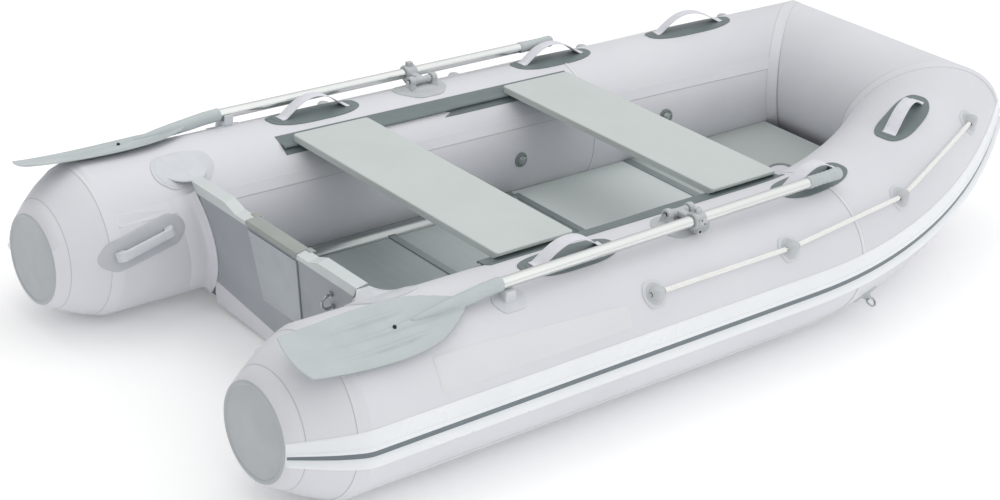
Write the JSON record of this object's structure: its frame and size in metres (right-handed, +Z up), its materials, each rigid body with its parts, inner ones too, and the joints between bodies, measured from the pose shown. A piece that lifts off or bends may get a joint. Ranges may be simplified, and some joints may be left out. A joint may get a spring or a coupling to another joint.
{
  "type": "inflatable motor boat",
  "caption": "Inflatable boat with side tubes and bow tube, raked transom for an outboard motor, rigid floor, sliding thwarts and stowed oars in pivoting rowlocks.",
  "frame": {"origin": "under the middle of the boat, at the level that the tubes and the keel rest on", "axes": "+X to the bow, +Y to port, +Z up"},
  "size_m": [3.0195, 1.5936, 0.5706],
  "materials": {
    "hull_fabric": "satin coated fabric",
    "cap_rubber": "matt",
    "strake_rubber": "satin",
    "transom_board_paint": "painted, satin",
    "transom_trim_plastic": "satin",
    "motor_plate_plastic": "matt",
    "stainless_steel": "satin",
    "floor_brushed_aluminium": "brushed, dark anodised",
    "floor_painted_panel": "satin",
    "floor_profile_aluminium": "bright anodised",
    "slate_pvc": "satin",
    "thwart_paint": "satin",
    "webbing": "woven",
    "rope_braid": "braided",
    "fitting_plastic": "satin moulded",
    "oar_shaft_aluminium": "fluted, clear anodised",
    "oar_plastic": "moulded"
  },
  "bodies": {
    "hull": {"port_tube": "hull_fabric", "starboard_tube": "hull_fabric", "bow_tube": "hull_fabric", "bottom_skin": "hull_fabric", "transom_gussets": "hull_fabric", "transom_brackets": "hull_fabric", "lifeline_eyes": "hull_fabric", "stern_handles": "hull_fabric", "end_caps": "cap_rubber", "keel_strip": "cap_rubber", "port_rub_strake": "strake_rubber", "starboard_rub_strake": "strake_rubber", "bow_rub_strake": "strake_rubber", "transom_board": "transom_board_paint", "transom_trim": "transom_trim_plastic", "outer_motor_plate": "motor_plate_plastic", "inner_motor_plate": "motor_plate_plastic", "transom_u_bolt": "stainless_steel", "bow_tow_rings": "stainless_steel", "oarlock_pins": "stainless_steel", "aft_floor_panel": "floor_brushed_aluminium", "second_floor_panel": "floor_brushed_aluminium", "third_floor_panel": "floor_painted_panel", "bow_floor_panel": "floor_painted_panel", "floor_profiles": "floor_profile_aluminium", "floor_stringers": "floor_profile_aluminium", "seat_rails": "slate_pvc", "handle_patches": "slate_pvc", "port_handle_straps": "webbing", "starboard_handle_straps": "webbing", "lifelines": "rope_braid", "oarlock_bases": "fitting_plastic", "oar_clips": "fitting_plastic", "inflation_valves": "fitting_plastic"},
    "port_oar": {"port_oarlock_swivel": "fitting_plastic", "port_oar_collar": "fitting_plastic", "port_oar_shaft": "oar_shaft_aluminium", "port_oar_grip": "oar_plastic", "port_oar_blade": "oar_plastic"},
    "starboard_oar": {"starboard_oarlock_swivel": "fitting_plastic", "starboard_oar_collar": "fitting_plastic", "starboard_oar_shaft": "oar_shaft_aluminium", "starboard_oar_grip": "oar_plastic", "starboard_oar_blade": "oar_plastic"},
    "aft_seat": {"aft_thwart": "thwart_paint"},
    "forward_seat": {"forward_thwart": "thwart_paint"}
  },
  "joints": [
    {"name": "port_oar_lift", "type": "hinge", "parent": "hull", "child": "port_oar", "pos_m": [-0.1537, 0.565, 0.474], "axis": [1, 0, 0], "range_deg": [0, 165]},
    {"name": "starboard_oar_lift", "type": "hinge", "parent": "hull", "child": "starboard_oar", "pos_m": [-0.1537, -0.565, 0.474], "axis": [-1, 0, 0], "range_deg": [0, 165]},
    {"name": "aft_thwart_slide", "type": "slide", "parent": "hull", "child": "aft_seat", "axis": [1, 0, 0], "range_m": [-0.04, 0.2]},
    {"name": "forward_thwart_slide", "type": "slide", "parent": "hull", "child": "forward_seat", "axis": [1, 0, 0], "range_m": [-0.2, 0]}
  ]
}
